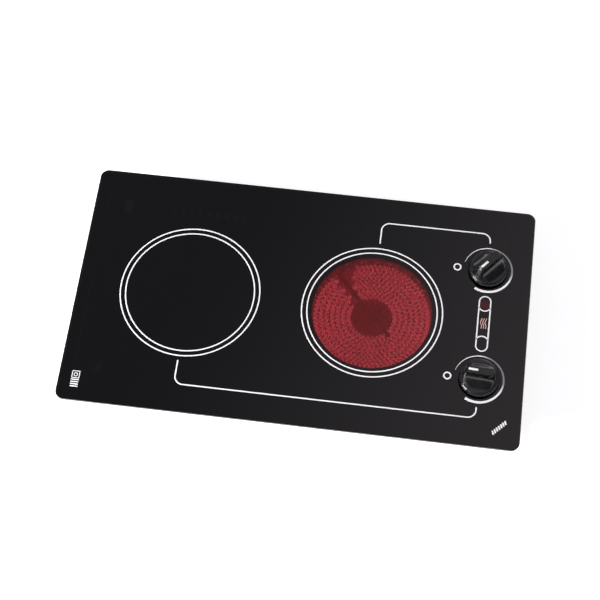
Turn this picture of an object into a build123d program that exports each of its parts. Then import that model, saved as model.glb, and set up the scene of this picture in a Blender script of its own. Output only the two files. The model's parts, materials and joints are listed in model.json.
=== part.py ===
"""Two-zone glass-ceramic hob: a built-in electric hot plate with two radiant burners and two knobs.

Millimetres. +X is the long way, towards the knobs. +Y is away from the cook. +Z is up.
The origin is under the middle of the glass, at the underside of the burner box.
"""
from build123d import *
import math
import os

# ---------------------------------------------------------------- glass and worktop
GLASS_LENGTH = 533.4
GLASS_WIDTH = 303.0
GLASS_THICKNESS = 4.0
GLASS_CORNER = 10.0
GLASS_EDGE_CHAMFER = 0.7
OVERALL_HEIGHT = 63.5
SHAFT_HOLE_RADIUS = 7.0
LIP_X = 11.7  # glass beyond the cut-out at each end
LIP_Y = 18.5  # glass beyond the cut-out at front and rear
CUTOUT_GAP = 5.0  # box to the edge of the cut-out
GASKET_THICKNESS = 2.0
GASKET_INSET = 2.5
GASKET_TO_FRAME = 0.5
BOND_THICKNESS = 1.2
BOND_WIDTH = 9.0
BOND_INSET = 1.0

# ---------------------------------------------------------------- sheet metal
SHEET = 1.0
FRAME_FIT = 0.3  # between the frame's skirt and the box wall
FRAME_SKIRT = 22.0
FRAME_FLANGE = 15.0
NOTCH_X = 30.0  # each corner of the box steps in, to leave a bay for a clamp
NOTCH_Y = 30.0
BOX_BEND = 3.0
VENT_WIDTH = 4.0
VENT_LENGTH = 22.0
VENT_HEIGHT = 18.0  # middle of the wall vents above the floor
VENT_PITCH = 11.0
FLOOR_VENTS = {"left": 5, "right": 5, "knobs": 6}  # in each row
WALL_VENTS = 9

# ---------------------------------------------------------------- places of zones and knobs
KNOB_FROM_EDGE = 52.0  # knob column to the right edge of the glass
KNOB_SPREAD = 70.0  # each knob from the middle line
RIGHT_ZONE_TO_KNOBS = 130.7
LEFT_ZONE_FROM_EDGE = 134.3

# ---------------------------------------------------------------- radiant element
DISH_RADIUS = 82.0
DISH_SHEET = 0.6
DISH_DEPTH = 26.4
BASE_THICKNESS = 12.0
HUB_DEPTH = 1.5  # the hollow in the middle of the cake
WALL_THICKNESS = 11.4  # the ring of insulation on top of the cake
RIBBON_TO_WALL = 3.5  # from the last row's middle line
RIBBON_FIRST_RADIUS = 27.5
RIBBON_ROWS = 7
RIBBON_BAND = 4.6  # across the waves
RIBBON_HEIGHT = 4.5
RIBBON_GAP = 9.0  # half the clear strip where the rows turn back
LIMITER_ANGLE = 133.0
LIMITER_RADIUS = 2.5
LIMITER_HOLE_RADIUS = 3.1
LIMITER_DROP = 8.2  # glass underside to the limiter's axis
LIMITER_PAST_CENTRE = 34.0
LIMITER_HEAD = (38.0, 22.0, 16.0)
LIMITER_HEAD_FROM_DISH = 2.0
LIMITER_HEAD_TO_GLASS = 1.5
LIMITER_HEAD_CORNER = 2.0
LIMITER_TAB_HEIGHT = 4.0
HEATER_TERMINAL_ANGLE = 105.0
HEATER_TERMINAL = (12.0, 22.0, 14.0)
HEATER_TERMINAL_FROM_DISH = 4.0
HEATER_TERMINAL_DROP = 4.0  # its underside below the ribbon's
HEATER_TERMINAL_CORNER = 1.5
HEATER_TERMINAL_FOOT = (4.0, 3.0)
HEATER_TAB = (8.0, 4.8, 3.0)  # length, width, height above the block's underside
ELEMENT_TO_GLASS = 18.0  # glass underside to the face of the insulation
SPRING_COUNT = 3
SPRING_STRIP = (12.0, 1.0)
SPRING_CIRCLE = 58.0
SPRING_ARM = 16.0
SPRING_FIRST_ANGLE = -30.0

# ---------------------------------------------------------------- energy switch and its bracket
BRACKET_SHEET = 1.2
BRACKET_DROP = 12.2  # glass underside to the bracket
BRACKET_WIDTH = 50.0
BRACKET_END = 26.0  # bracket's leg beyond the knob's axis
BRACKET_FOOT = 10.0
SWITCH_X = 42.0
SWITCH_Y = 40.0
SWITCH_DEPTH = 26.0
SWITCH_FLOOR = 3.0
SWITCH_CAVITY_RADIUS = 17.5
SWITCH_COVER = 3.0
SWITCH_CORNER = 3.0
SWITCH_SCREW_AT = (16.5, 15.5)
SWITCH_SCREW_RADIUS = 2.0
SWITCH_SCREW_HEAD = (3.8, 2.2)
SWITCH_SCREW_LENGTH = 12.0
CAM_RADIUS = 9.0
CAM_LOBE_RADIUS = 13.0
CAM_LOBE_LOW_RADIUS = 10.6
CAM_LOBE_Z = (8.0, 14.0)
CAM_NECK_RADIUS = 6.0
CAM_NECK_ABOVE_BRACKET = 2.0
CAM_END_GAP = 0.4
SPRING_CAVITY_RADIUS = 4.0
SPRING_CAVITY_DEPTH = 12.4
RUNNING_FIT = 0.05
BLADE = (0.8, 14.0, 12.0)
BLADE_TO_CAM = 0.6
BLADE_FOOT = 3.0
TAB = (11.0, 6.3, 0.8)
TAB_SPREAD = 11.0
TAB_HEIGHT = 6.0
TAB_ROOT = 3.2  # how far a tab reaches into the switch's wall

# ---------------------------------------------------------------- shaft, spring and knob
SHAFT_RADIUS = 3.0
SHAFT_FLAT = 1.6
COLLAR_RADIUS = 3.7
COLLAR_THICKNESS = 1.2
COLLAR_GAP = 0.3
SPRING_WIRE = 0.5
SPRING_TURNS = 5
SPRING_RADIUS = 3.2
SPRING_PLAY = 0.05
KNOB_GAP = 3.2  # glass to the knob at rest
KNOB_SKIRT_RADIUS = 23.4
KNOB_RIM_RADIUS = 22.0
KNOB_RIM_HEIGHT = 4.6
KNOB_HEIGHT = 23.5
KNOB_DECK_HEIGHT = 5.4
BAR_TOP_HALF_WIDTH = 4.2
BAR_FOOT_HALF_WIDTH = 14.5
BAR_TOP_HALF_LENGTH = 15.2
BAR_FOOT_HALF_LENGTH = 20.8
BAR_SAGITTA = 3.4  # how hollow the grip's flanks are
BAR_EDGE = 1.0
KNOB_DECK_EDGE = 1.2
KNOB_EDGE = 0.5
KNOB_HOLLOW = 3.2
KNOB_SKIRT_WALL = 2.4
KNOB_HUB_RADIUS = 6.5
KNOB_HUB_LIFT = 1.6
KNOB_BORE_DEPTH = 15.0
CLIP_WALL = 0.8
POINTER = (11.0, 2.6, 0.8)
POINTER_START = 2.8
POINTER_PROUD = 0.1
SEAL_LIP = (8.6, 0.5)
SEAL_CLEARANCE = 0.4
OFF_ANGLE = 176.5  # the pointer's direction at off
HIGH_TURN = 308.0  # clockwise from off to the highest setting

# ---------------------------------------------------------------- lamps, mains entry, clamps, screws
LAMP_FROM_MIDDLE = 25.5
LAMP = (10.4, 18.0)
LAMP_POCKET = 3.0
LAMP_TO_GLASS = 0.5
LAMP_CLEARANCE = 0.15
LAMP_HOLDER = (15.0, 76.0, 6.0)
MAINS_TERMINAL = (40.0, 16.0, 15.0)
MAINS_WAYS = 3
MAINS_CORNER = 1.5
MAINS_SCREW_WELL = (3.5, 4.0)
MAINS_SCREW = (2.8, 5.0, 2.0)  # radius, foot and head below the block's top
MAINS_TERMINAL_FROM_WALL = 5.0
GLAND_BORE_RADIUS = 5.2
GLAND_STEM_RADIUS = 8.0
GLAND_HEX_RADIUS = 9.5
GLAND_STEM_BORE_RADIUS = 6.2
GLAND_HEIGHT = 14.5
GLAND_FROM_WALL = 12.0
GLAND_FLANGE = 5.0
GLAND_DOME = 9.0
GLAND_DOME_STEP = 0.7
GLAND_STEM = 10.0
LOCKNUT_RADIUS = 9.0
LOCKNUT = 4.5
STUD_RADIUS = 2.0
STUD_HEAD = (4.2, 1.0)
STUD_PAST_NUT = 3.5
STUD_FROM_CUTOUT_X = 9.0
STUD_TO_BOX = 8.6
CLAMP_WIDTH = 16.0
CLAMP_TO_CUTOUT = 0.4  # folded clamp to the edge of the cut-out
CLAMP_THICKNESS = 2.0
CLAMP_JAW = 5.0
WORKTOP = 30.0  # the worktop that the clamps are set for
CLAMP_TO_WORKTOP = 0.5
CLAMP_GAP = 0.3
NUT_RADIUS = 3.5
NUT_THICKNESS = 3.2
FRAME_SCREW_RADIUS = 1.6
FRAME_SCREW_HEAD = (3.4, 2.0)
FRAME_SCREW_LENGTH = 7.0
FRAME_SCREW_X = 150.0
FRAME_SCREW_Y = 60.0
EARTH_SCREW_FROM_TERMINAL = 16.0
EARTH_SCREW_LENGTH = 8.0
LEAD_RADIUS = 1.4
LEAD_BEND = 7.0
LEAD_FROM_WALL = {"left": 6.0, "right": 11.0}
LEAD_FROM_KNOBS = {"left": 46.0, "right": 52.0}
FEED_FROM_KNOBS = {"rear": 42.0, "front": 58.0}

# ---------------------------------------------------------------- levels and plan sizes
GLASS_TOP = OVERALL_HEIGHT
GLASS_UNDER = GLASS_TOP - GLASS_THICKNESS
FLANGE_TOP = GLASS_UNDER - BOND_THICKNESS
FLANGE_UNDER = FLANGE_TOP - SHEET
CUTOUT_HALF_X = GLASS_LENGTH / 2 - LIP_X
CUTOUT_HALF_Y = GLASS_WIDTH / 2 - LIP_Y
BOX_HALF_X = CUTOUT_HALF_X - CUTOUT_GAP
BOX_HALF_Y = CUTOUT_HALF_Y - CUTOUT_GAP
FRAME_HALF_X = BOX_HALF_X + FRAME_FIT + SHEET
FRAME_HALF_Y = BOX_HALF_Y + FRAME_FIT + SHEET
KNOB_X = GLASS_LENGTH / 2 - KNOB_FROM_EDGE
ZONE_X = {"left": LEFT_ZONE_FROM_EDGE - GLASS_LENGTH / 2, "right": KNOB_X - RIGHT_ZONE_TO_KNOBS}
KNOB_Y = {"rear": KNOB_SPREAD, "front": -KNOB_SPREAD}
POINTER_ANGLE = {"rear": OFF_ANGLE - HIGH_TURN, "front": OFF_ANGLE}
ELEMENT_FACE = GLASS_UNDER - ELEMENT_TO_GLASS
DISH_FLOOR = ELEMENT_FACE - BASE_THICKNESS - DISH_SHEET
DISH_TOP = DISH_FLOOR + DISH_DEPTH
CAKE_RADIUS = DISH_RADIUS - DISH_SHEET
WALL_INNER_RADIUS = CAKE_RADIUS - WALL_THICKNESS
RIBBON_PITCH = (WALL_INNER_RADIUS - RIBBON_TO_WALL - RIBBON_FIRST_RADIUS) / (RIBBON_ROWS - 1)
LIMITER_Z = GLASS_UNDER - LIMITER_DROP
BRACKET_TOP = GLASS_UNDER - BRACKET_DROP
BRACKET_UNDER = BRACKET_TOP - BRACKET_SHEET
COVER_UNDER = BRACKET_UNDER - SWITCH_COVER
SWITCH_UNDER = COVER_UNDER - SWITCH_DEPTH
CAVITY_FLOOR = SWITCH_UNDER + SWITCH_FLOOR
CAM_BOTTOM = CAVITY_FLOOR + CAM_END_GAP
SPRING_TOP_LIMIT = CAM_BOTTOM + SPRING_CAVITY_DEPTH
COLLAR_TOP = SPRING_TOP_LIMIT - COLLAR_GAP
COLLAR_UNDER = COLLAR_TOP - COLLAR_THICKNESS
SPRING_SEAT = CAVITY_FLOOR + SWITCH_FLOOR
KNOB_BOTTOM = GLASS_TOP + KNOB_GAP
KNOB_TOP = KNOB_BOTTOM + KNOB_HEIGHT
SWITCH_TAB_TIP = KNOB_X - SWITCH_X / 2 - TAB[0]
SHAFT_TOP = KNOB_BOTTOM + KNOB_BORE_DEPTH
LAST_ROW = RIBBON_FIRST_RADIUS + (RIBBON_ROWS - 1) * RIBBON_PITCH
STUD_X = CUTOUT_HALF_X - STUD_FROM_CUTOUT_X
STUD_Y = BOX_HALF_Y - NOTCH_Y + STUD_TO_BOX
WORKTOP_UNDER = GLASS_UNDER - GASKET_THICKNESS - WORKTOP
CLAMP_HEIGHT = WORKTOP_UNDER - CLAMP_TO_WORKTOP - CLAMP_JAW - CLAMP_THICKNESS
CLAMP_REACH = CUTOUT_HALF_Y - CLAMP_TO_CUTOUT - STUD_Y
STUD_FOOT = CLAMP_HEIGHT - CLAMP_GAP - NUT_THICKNESS - STUD_PAST_NUT
GLAND_WALL_X = BOX_HALF_X - NOTCH_X
GLAND_Y = BOX_HALF_Y - GLAND_FROM_WALL
FRAME_SCREW_Z = FLANGE_TOP - FRAME_SKIRT / 2


# ---------------------------------------------------------------- shapes used again and again
def block(x0, x1, y0, y1, z0, z1):
    """A box between two corners."""
    middle = Pos((x0 + x1) / 2, (y0 + y1) / 2, (z0 + z1) / 2)
    return middle * Box(abs(x1 - x0), abs(y1 - y0), abs(z1 - z0))


def disc(radius, z0, z1, x=0.0, y=0.0):
    """An upright cylinder between two levels."""
    return Pos(x, y, (z0 + z1) / 2) * Cylinder(radius, z1 - z0)


def rod(radius, start, end):
    """A round bar between two points."""
    line = Line(start, end)
    return sweep(Plane(origin=start, z_dir=line % 0) * Circle(radius), path=line)


def plate(half_x, half_y, z0, z1, corner=0.0):
    """A flat plate about the middle, with round corners."""
    size = (2 * half_x, 2 * half_y)
    outline = RectangleRounded(*size, corner) if corner else Rectangle(*size)
    return extrude(Pos(0, 0, z0) * outline, z1 - z0)


def stadium(width, length, z0, z1, x=0.0, y=0.0):
    """A plate with half-round ends, long in Y."""
    return extrude(Pos(x, y, z0) * Rot(0, 0, 90) * SlotOverall(length, width), z1 - z0)


def d_section(radius, flat, z0, z1):
    """A round bar with one flat, which faces +X."""
    return disc(radius, z0, z1) & block(-radius, flat, -radius, radius, z0, z1)


def save(name, shape):
    """Writes one named piece."""
    shape.label = name
    export_step(shape, f"parts/{name}.step")


# ---------------------------------------------------------------- glass, seals and sheet metal
def glass_top():
    """The ceramic plate with a hole for each knob's shaft and a ground edge."""
    glass = plate(GLASS_LENGTH / 2, GLASS_WIDTH / 2, GLASS_UNDER, GLASS_TOP, GLASS_CORNER)
    glass = chamfer(glass.faces().sort_by(Axis.Z)[-1].edges(), GLASS_EDGE_CHAMFER)
    for y in KNOB_Y.values():
        glass -= disc(SHAFT_HOLE_RADIUS, GLASS_UNDER, GLASS_TOP, KNOB_X, y)
    return glass


def glass_bond():
    """The silicone bead that glues the glass to the frame's flange."""
    half_x, half_y = FRAME_HALF_X - BOND_INSET, FRAME_HALF_Y - BOND_INSET
    bead = plate(half_x, half_y, FLANGE_TOP, GLASS_UNDER)
    return bead - plate(half_x - BOND_WIDTH, half_y - BOND_WIDTH, FLANGE_TOP, GLASS_UNDER)


def worktop_gasket():
    """The foam tape under the glass's rim, which lies on the worktop."""
    low = GLASS_UNDER - GASKET_THICKNESS
    half_x, half_y = GLASS_LENGTH / 2 - GASKET_INSET, GLASS_WIDTH / 2 - GASKET_INSET
    tape = plate(half_x, half_y, low, GLASS_UNDER, GLASS_CORNER - GASKET_INSET)
    return tape - plate(FRAME_HALF_X + GASKET_TO_FRAME, FRAME_HALF_Y + GASKET_TO_FRAME, low, GLASS_UNDER)


def top_frame():
    """An L-section frame: a flange under the glass and a skirt around the box."""
    low = FLANGE_TOP - FRAME_SKIRT
    frame = plate(FRAME_HALF_X, FRAME_HALF_Y, low, FLANGE_TOP, BOX_BEND)
    frame -= plate(FRAME_HALF_X - SHEET, FRAME_HALF_Y - SHEET, low, FLANGE_UNDER, BOX_BEND - SHEET)
    frame -= plate(FRAME_HALF_X - FRAME_FLANGE, FRAME_HALF_Y - FRAME_FLANGE, FLANGE_UNDER, FLANGE_TOP)
    for hole in frame_screw_shanks():
        frame -= hole
    return frame


def box_outline(inset, low, high):
    """The box's plan, a rectangle with its four corners stepped in, drawn in by inset."""
    plan = Rectangle(2 * (BOX_HALF_X - inset), 2 * (BOX_HALF_Y - inset))
    for sx in (-1, 1):
        for sy in (-1, 1):
            corner = Pos(sx * BOX_HALF_X, sy * BOX_HALF_Y)
            plan -= corner * Rectangle(2 * (NOTCH_X + inset), 2 * (NOTCH_Y + inset))
    return extrude(Pos(0, 0, low) * plan, high - low)


def floor_vents():
    """Rows of slots in the floor: one under each zone and one under the switches."""
    middles = {**ZONE_X, "knobs": KNOB_X}
    for row, count in FLOOR_VENTS.items():
        for side in (-1, 1):
            for i in range(count):
                x = middles[row] + (i - (count - 1) / 2) * VENT_PITCH
                y = side * VENT_LENGTH
                yield stadium(VENT_WIDTH, VENT_LENGTH, 0, SHEET, x, y)


def wall_vents():
    """Upright slots in the front and rear walls, beside each zone."""
    outline = Rot(0, 0, 90) * SlotOverall(VENT_LENGTH, VENT_WIDTH)
    slot = Rot(90, 0, 0) * extrude(outline, SHEET, both=True)
    for middle in ZONE_X.values():
        for i in range(WALL_VENTS):
            x = middle + (i - (WALL_VENTS - 1) / 2) * VENT_PITCH
            for side in (-1, 1):
                yield Pos(x, side * (BOX_HALF_Y - SHEET / 2), VENT_HEIGHT) * slot


def burner_box():
    """The folded steel pan that carries everything under the glass."""
    high = FLANGE_UNDER - FRAME_FIT
    box = box_outline(0, 0, high)
    box = fillet(box.edges().filter_by(Axis.Z), BOX_BEND)
    inside = box_outline(SHEET, SHEET, high)
    inside = fillet(inside.edges().filter_by(Axis.Z), BOX_BEND - SHEET)
    box -= inside
    for slot in (*floor_vents(), *wall_vents()):
        box -= slot
    for hole in frame_screw_shanks():
        box -= hole
    box -= rod(GLAND_STEM_RADIUS, gland_x(-GLAND_STEM), gland_x(GLAND_STEM))
    box -= disc(FRAME_SCREW_RADIUS, 0, SHEET, *earth_screw_place())
    return box


# ---------------------------------------------------------------- screws
def frame_screw_places():
    """(point on the skirt's outside, direction inward) of each frame screw."""
    for sx in (-1, 1):
        for sy in (-1, 1):
            yield (sx * FRAME_SCREW_X, sy * FRAME_HALF_Y), (0, -sy)
            yield (sx * FRAME_HALF_X, sy * FRAME_SCREW_Y), (-sx, 0)


def frame_screw_shanks():
    """The shank of each frame screw, which is also its hole."""
    for (x, y), (dx, dy) in frame_screw_places():
        end = (x + dx * FRAME_SCREW_LENGTH, y + dy * FRAME_SCREW_LENGTH, FRAME_SCREW_Z)
        yield rod(FRAME_SCREW_RADIUS, (x, y, FRAME_SCREW_Z), end)


def frame_screws():
    """Eight screws that hold the box in the frame."""
    screws = []
    head_radius, head_height = FRAME_SCREW_HEAD
    for ((x, y), (dx, dy)), shank in zip(frame_screw_places(), frame_screw_shanks()):
        start = (x - dx * head_height, y - dy * head_height, FRAME_SCREW_Z)
        screws.append(shank + rod(head_radius, start, (x, y, FRAME_SCREW_Z)))
    return Compound(children=screws)


def earth_screw_place():
    """Where the earth screw stands on the floor."""
    x0, _, y0, y1 = mains_terminal_plan()
    return x0 - EARTH_SCREW_FROM_TERMINAL, (y0 + y1) / 2


def earth_screw():
    """The screw for the green and yellow wire, up through the floor with a nut on it."""
    x, y = earth_screw_place()
    nut = extrude(Pos(x, y, SHEET) * RegularPolygon(NUT_RADIUS, 6), NUT_THICKNESS)
    return disc(FRAME_SCREW_RADIUS, 0, SHEET + EARTH_SCREW_LENGTH, x, y) + nut


# ---------------------------------------------------------------- radiant element, about its own axis
def turned(angle, shape):
    """Turns a shape drawn along +X to an angle about the zone's axis."""
    return Rot(0, 0, angle) * shape


def limiter_bar(radius, end):
    """The limiter's round bar from past the centre out to a radius, along +X."""
    return rod(radius, (-LIMITER_PAST_CENTRE, 0, LIMITER_Z), (end, 0, LIMITER_Z))


def ribbon_tails():
    """The ribbon's two ends, which run out through the wall to the heater terminal."""
    end = DISH_RADIUS + HEATER_TERMINAL_FROM_DISH
    half, high = RIBBON_BAND / 2, ELEMENT_FACE + RIBBON_HEIGHT
    tails = []
    for side in (-1, 1):
        y = side * HEATER_TERMINAL[1] / 4
        tail = block(LAST_ROW, end, y - half, y + half, ELEMENT_FACE, high)
        tails.append(turned(HEATER_TERMINAL_ANGLE, tail))
    return tails


def element_dish():
    """The thin steel dish of one radiant element."""
    dish = disc(DISH_RADIUS, DISH_FLOOR, DISH_TOP) - disc(CAKE_RADIUS, DISH_FLOOR + DISH_SHEET, DISH_TOP)
    dish -= turned(LIMITER_ANGLE, limiter_bar(LIMITER_HOLE_RADIUS, DISH_RADIUS + 1))
    for tail in ribbon_tails():
        dish -= tail
    return dish


def insulation_base():
    """The pressed insulating cake that the ribbon stands on, with a dished hub."""
    cake = disc(CAKE_RADIUS, DISH_FLOOR + DISH_SHEET, ELEMENT_FACE)
    return cake - disc(RIBBON_FIRST_RADIUS - RIBBON_PITCH / 2, ELEMENT_FACE - HUB_DEPTH, ELEMENT_FACE)


def insulation_wall():
    """The ring of insulation that presses against the glass."""
    wall = disc(CAKE_RADIUS, ELEMENT_FACE, GLASS_UNDER) - disc(WALL_INNER_RADIUS, ELEMENT_FACE, GLASS_UNDER)
    wall -= turned(LIMITER_ANGLE, limiter_bar(LIMITER_HOLE_RADIUS, DISH_RADIUS + 1))
    for tail in ribbon_tails():
        wall -= tail
    return wall


def ribbon_row(radius, low, high):
    """One row of the ribbon, open on the limiter's side."""
    row = disc(radius + RIBBON_BAND / 2, low, high) - disc(radius - RIBBON_BAND / 2, low, high)
    return row - turned(LIMITER_ANGLE, block(0, radius + RIBBON_PITCH, -RIBBON_GAP, RIBBON_GAP, low, high))


def ribbon_link(inner, side, low, high):
    """The U-turn that joins two rows beside the clear strip."""
    edge = side * RIBBON_GAP
    far = side * (RIBBON_GAP + RIBBON_BAND)
    start = math.sqrt(inner**2 - RIBBON_GAP**2)
    return turned(LIMITER_ANGLE, block(start, start + RIBBON_PITCH, edge, far, low, high))


def heating_ribbon():
    """The heating ribbon as the band that its waves fill, laid in rows that turn back and forth."""
    low, high = ELEMENT_FACE, ELEMENT_FACE + RIBBON_HEIGHT
    radii = [RIBBON_FIRST_RADIUS + i * RIBBON_PITCH for i in range(RIBBON_ROWS)]
    ribbon = ribbon_row(radii[0], low, high)
    for i, radius in enumerate(radii[1:]):
        ribbon += ribbon_row(radius, low, high)
        ribbon += ribbon_link(radii[i], -1 if i % 2 else 1, low, high)
    for tail in ribbon_tails():
        ribbon += tail
    return ribbon


def limiter_tube():
    """The quartz tube of the temperature limiter, across the element under the glass."""
    return turned(LIMITER_ANGLE, limiter_bar(LIMITER_RADIUS, DISH_RADIUS + LIMITER_HEAD_FROM_DISH))


def limiter_head():
    """The limiter's switch head, outside the dish, with two tabs."""
    length, width, height = LIMITER_HEAD
    start = DISH_RADIUS + LIMITER_HEAD_FROM_DISH
    end = start + length
    high = GLASS_UNDER - LIMITER_HEAD_TO_GLASS
    head = block(start, end, -width / 2, width / 2, high - height, high)
    head = fillet(head.edges().filter_by(Axis.Z), LIMITER_HEAD_CORNER)
    tab_length, tab_width, _ = HEATER_TAB
    low = high - height + LIMITER_TAB_HEIGHT
    for side in (-1, 1):
        y = side * width / 4
        head += block(end, end + tab_length, y - tab_width / 2, y + tab_width / 2, low, low + TAB[2])
    return turned(LIMITER_ANGLE, head)


def heater_terminal():
    """The ceramic block where the ribbon's ends meet the leads, with two tabs."""
    depth, width, height = HEATER_TERMINAL
    start = DISH_RADIUS + HEATER_TERMINAL_FROM_DISH
    end = start + depth
    low = ELEMENT_FACE - HEATER_TERMINAL_DROP
    high = low + height
    body = block(start, end, -width / 2, width / 2, low, high)
    body = fillet(body.edges().filter_by(Axis.Z), HEATER_TERMINAL_CORNER)
    foot_width, foot_height = HEATER_TERMINAL_FOOT
    body += block(DISH_RADIUS, start, -foot_width / 2, foot_width / 2, high - foot_height, high)
    tab_length, tab_width, tab_height = HEATER_TAB
    for side in (-1, 1):
        y = side * width / 4
        tab = block(end, end + tab_length, y - tab_width / 2, y + tab_width / 2, 0, TAB[2])
        body += Pos(0, 0, low + tab_height) * tab
    return turned(HEATER_TERMINAL_ANGLE, body)


def support_springs():
    """Z-shaped strip springs on the box floor, which press the element up to the glass."""
    width, gauge = SPRING_STRIP
    springs = []
    for i in range(SPRING_COUNT):
        arm = block(-SPRING_ARM, gauge, -width / 2, width / 2, DISH_FLOOR - gauge, DISH_FLOOR)
        post = block(0, gauge, -width / 2, width / 2, SHEET, DISH_FLOOR)
        foot = block(0, SPRING_ARM, -width / 2, width / 2, SHEET, SHEET + gauge)
        strip = arm + post + foot
        springs.append(turned(i * 360 / SPRING_COUNT + SPRING_FIRST_ANGLE, Pos(SPRING_CIRCLE, 0, 0) * strip))
    return Compound(children=springs)


# ---------------------------------------------------------------- energy switch, about the knob's axis
def screw_bores(radius, low, high):
    """The two diagonal screw holes of a switch."""
    x, y = SWITCH_SCREW_AT
    return [disc(radius, low, high, sign * x, sign * y) for sign in (-1, 1)]


def switch_tab_blocks():
    """The switch's three flat tabs, out of its left side."""
    length, width, gauge = TAB
    for i in (-1, 0, 1):
        y = i * TAB_SPREAD
        z = SWITCH_UNDER + TAB_HEIGHT
        start, end = -SWITCH_X / 2 - length, TAB_ROOT - SWITCH_CAVITY_RADIUS
        yield block(start, end, y - width / 2, y + width / 2, z, z + gauge)


def switch_base():
    """The switch's moulded body with a round cavity and the post that the cam turns on."""
    body = block(-SWITCH_X / 2, SWITCH_X / 2, -SWITCH_Y / 2, SWITCH_Y / 2, SWITCH_UNDER, COVER_UNDER)
    body = fillet(body.edges().filter_by(Axis.Z), SWITCH_CORNER)
    body -= disc(SWITCH_CAVITY_RADIUS, CAVITY_FLOOR, COVER_UNDER)
    body += disc(SPRING_CAVITY_RADIUS - RUNNING_FIT, CAVITY_FLOOR - 1, SPRING_SEAT)
    for tab in switch_tab_blocks():
        body -= tab
    for bore in screw_bores(SWITCH_SCREW_RADIUS, COVER_UNDER - SWITCH_SCREW_LENGTH, COVER_UNDER):
        body -= bore
    return body


def switch_cover():
    """The lid of the switch, with the bearing for the cam's neck."""
    lid = block(-SWITCH_X / 2, SWITCH_X / 2, -SWITCH_Y / 2, SWITCH_Y / 2, COVER_UNDER, BRACKET_UNDER)
    lid = fillet(lid.edges().filter_by(Axis.Z), SWITCH_CORNER)
    lid -= disc(CAM_NECK_RADIUS + RUNNING_FIT, COVER_UNDER, BRACKET_UNDER)
    for bore in screw_bores(SWITCH_SCREW_RADIUS, COVER_UNDER, BRACKET_UNDER):
        lid -= bore
    return lid


def cam_lobe():
    """The cam's disc: round on the low side, with a raised half for the contact."""
    low, high = (CAM_BOTTOM + level for level in CAM_LOBE_Z)
    half = block(0, CAM_LOBE_RADIUS, -CAM_LOBE_RADIUS, CAM_LOBE_RADIUS, low, high)
    raised = disc(CAM_LOBE_RADIUS, low, high) & half
    return raised + disc(CAM_LOBE_LOW_RADIUS, low, high)


def switch_cam():
    """The cam that the shaft turns, with a flat-sided bore that the shaft slides in."""
    shoulder = COVER_UNDER - CAM_END_GAP
    top = BRACKET_TOP + CAM_NECK_ABOVE_BRACKET
    cam = disc(CAM_RADIUS, CAM_BOTTOM, shoulder) + disc(CAM_NECK_RADIUS, CAM_BOTTOM, top)
    cam += cam_lobe()
    cam -= disc(SPRING_CAVITY_RADIUS, CAM_BOTTOM, SPRING_TOP_LIMIT)
    return cam - d_section(SHAFT_RADIUS + RUNNING_FIT, SHAFT_FLAT + RUNNING_FIT, CAM_BOTTOM, top)


def contact_blade():
    """The bimetal strip that the cam loads, on its foot on the switch's floor."""
    gauge, width, height = BLADE
    x = CAM_LOBE_RADIUS + BLADE_TO_CAM
    upright = block(x, x + gauge, -width / 2, width / 2, CAVITY_FLOOR, CAVITY_FLOOR + height)
    foot = block(x - BLADE_FOOT, x + gauge, -BLADE_FOOT, BLADE_FOOT, CAVITY_FLOOR, CAVITY_FLOOR + gauge)
    return upright + foot


def switch_tabs():
    """The three flat tabs as one set."""
    return Compound(children=list(switch_tab_blocks()))


def return_spring():
    """The coil spring that lifts the shaft again after it is pushed."""
    low = SPRING_SEAT + SPRING_WIRE / 2 + SPRING_PLAY
    high = COLLAR_UNDER - SPRING_WIRE / 2 - SPRING_PLAY
    helix = Helix(pitch=(high - low) / SPRING_TURNS, height=high - low, radius=SPRING_RADIUS)
    section = Plane(origin=helix @ 0, z_dir=helix % 0) * Circle(SPRING_WIRE / 2)
    wire = sweep(section, path=helix, is_frenet=True)
    return Pos(0, 0, low) * wire


def control_bracket():
    """The bridge of sheet steel that the switches and the lamps are fixed to."""
    half_x = BRACKET_WIDTH / 2
    half_y = KNOB_SPREAD + BRACKET_END
    bridge = block(KNOB_X - half_x, KNOB_X + half_x, -half_y, half_y, BRACKET_UNDER, BRACKET_TOP)
    for side in (-1, 1):
        edge = side * half_y
        inner = side * (half_y - BRACKET_SHEET)
        toe = side * (half_y - BRACKET_FOOT)
        bridge += block(KNOB_X - half_x, KNOB_X + half_x, inner, edge, SHEET, BRACKET_TOP)
        bridge += block(KNOB_X - half_x, KNOB_X + half_x, toe, edge, SHEET, SHEET + BRACKET_SHEET)
    for y in KNOB_Y.values():
        place = Pos(KNOB_X, y, 0)
        bridge -= place * disc(CAM_NECK_RADIUS + 1, BRACKET_UNDER, BRACKET_TOP)
        for bore in screw_bores(SWITCH_SCREW_RADIUS, BRACKET_UNDER, BRACKET_TOP):
            bridge -= place * bore
    return bridge


def switch_screws():
    """Two screws for each switch, down through the bracket."""
    head_radius, head_height = SWITCH_SCREW_HEAD
    screws = []
    for y in KNOB_Y.values():
        shanks = screw_bores(SWITCH_SCREW_RADIUS, COVER_UNDER - SWITCH_SCREW_LENGTH, BRACKET_TOP)
        heads = screw_bores(head_radius, BRACKET_TOP, BRACKET_TOP + head_height)
        screws += [Pos(KNOB_X, y, 0) * (shank + head) for shank, head in zip(shanks, heads)]
    return Compound(children=screws)


# ---------------------------------------------------------------- shaft and knob, about the knob's axis
def shaft():
    """The knob's shaft: a bar with one flat and a collar that keeps it in the cam."""
    bar = d_section(SHAFT_RADIUS, SHAFT_FLAT, COLLAR_TOP - 0.5, SHAFT_TOP)
    return bar + disc(COLLAR_RADIUS, COLLAR_UNDER, COLLAR_TOP)


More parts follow.
